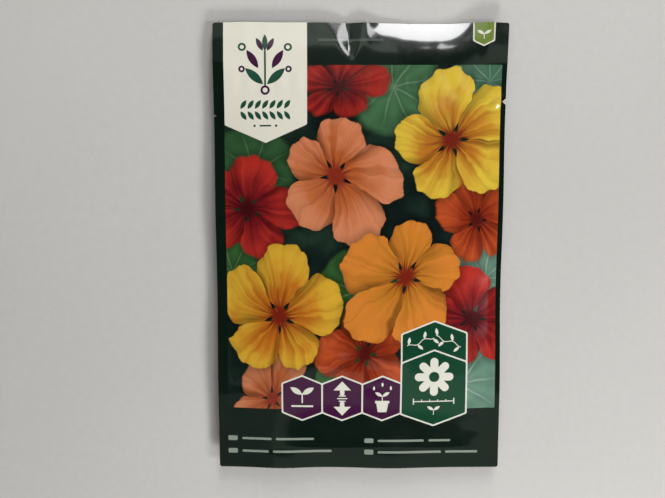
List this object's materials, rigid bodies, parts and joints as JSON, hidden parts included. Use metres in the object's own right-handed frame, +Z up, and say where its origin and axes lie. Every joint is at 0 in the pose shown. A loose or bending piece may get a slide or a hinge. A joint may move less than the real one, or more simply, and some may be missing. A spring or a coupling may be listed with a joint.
{
  "type": "seed packet",
  "caption": "Flat, heat-sealed pouch of two printed films with loose flower seeds in its pocket, a curled header and a tear notch in each side.",
  "frame": {"origin": "centre of the packet's outline, on the surface that the back film lies on", "axes": "+X to the right edge seen from the front, +Y to the header, +Z up out of the printed front"},
  "size_m": [0.108, 0.168, 0.0086],
  "materials": {
    "front_print": "glossy printed film",
    "back_print": "glossy printed film",
    "seed": "dry wrinkled husk"
  },
  "bodies": {
    "root": {"front_film": "front_print", "back_film": "back_print", "seed_01": "seed", "seed_02": "seed", "seed_03": "seed", "seed_04": "seed", "seed_05": "seed", "seed_06": "seed", "seed_07": "seed", "seed_08": "seed", "seed_09": "seed", "seed_10": "seed", "seed_11": "seed", "seed_12": "seed", "seed_13": "seed", "seed_14": "seed", "seed_15": "seed", "seed_16": "seed", "seed_17": "seed", "seed_18": "seed", "seed_19": "seed", "seed_20": "seed", "seed_21": "seed", "seed_22": "seed", "seed_23": "seed", "seed_24": "seed"}
  },
  "joints": []
}
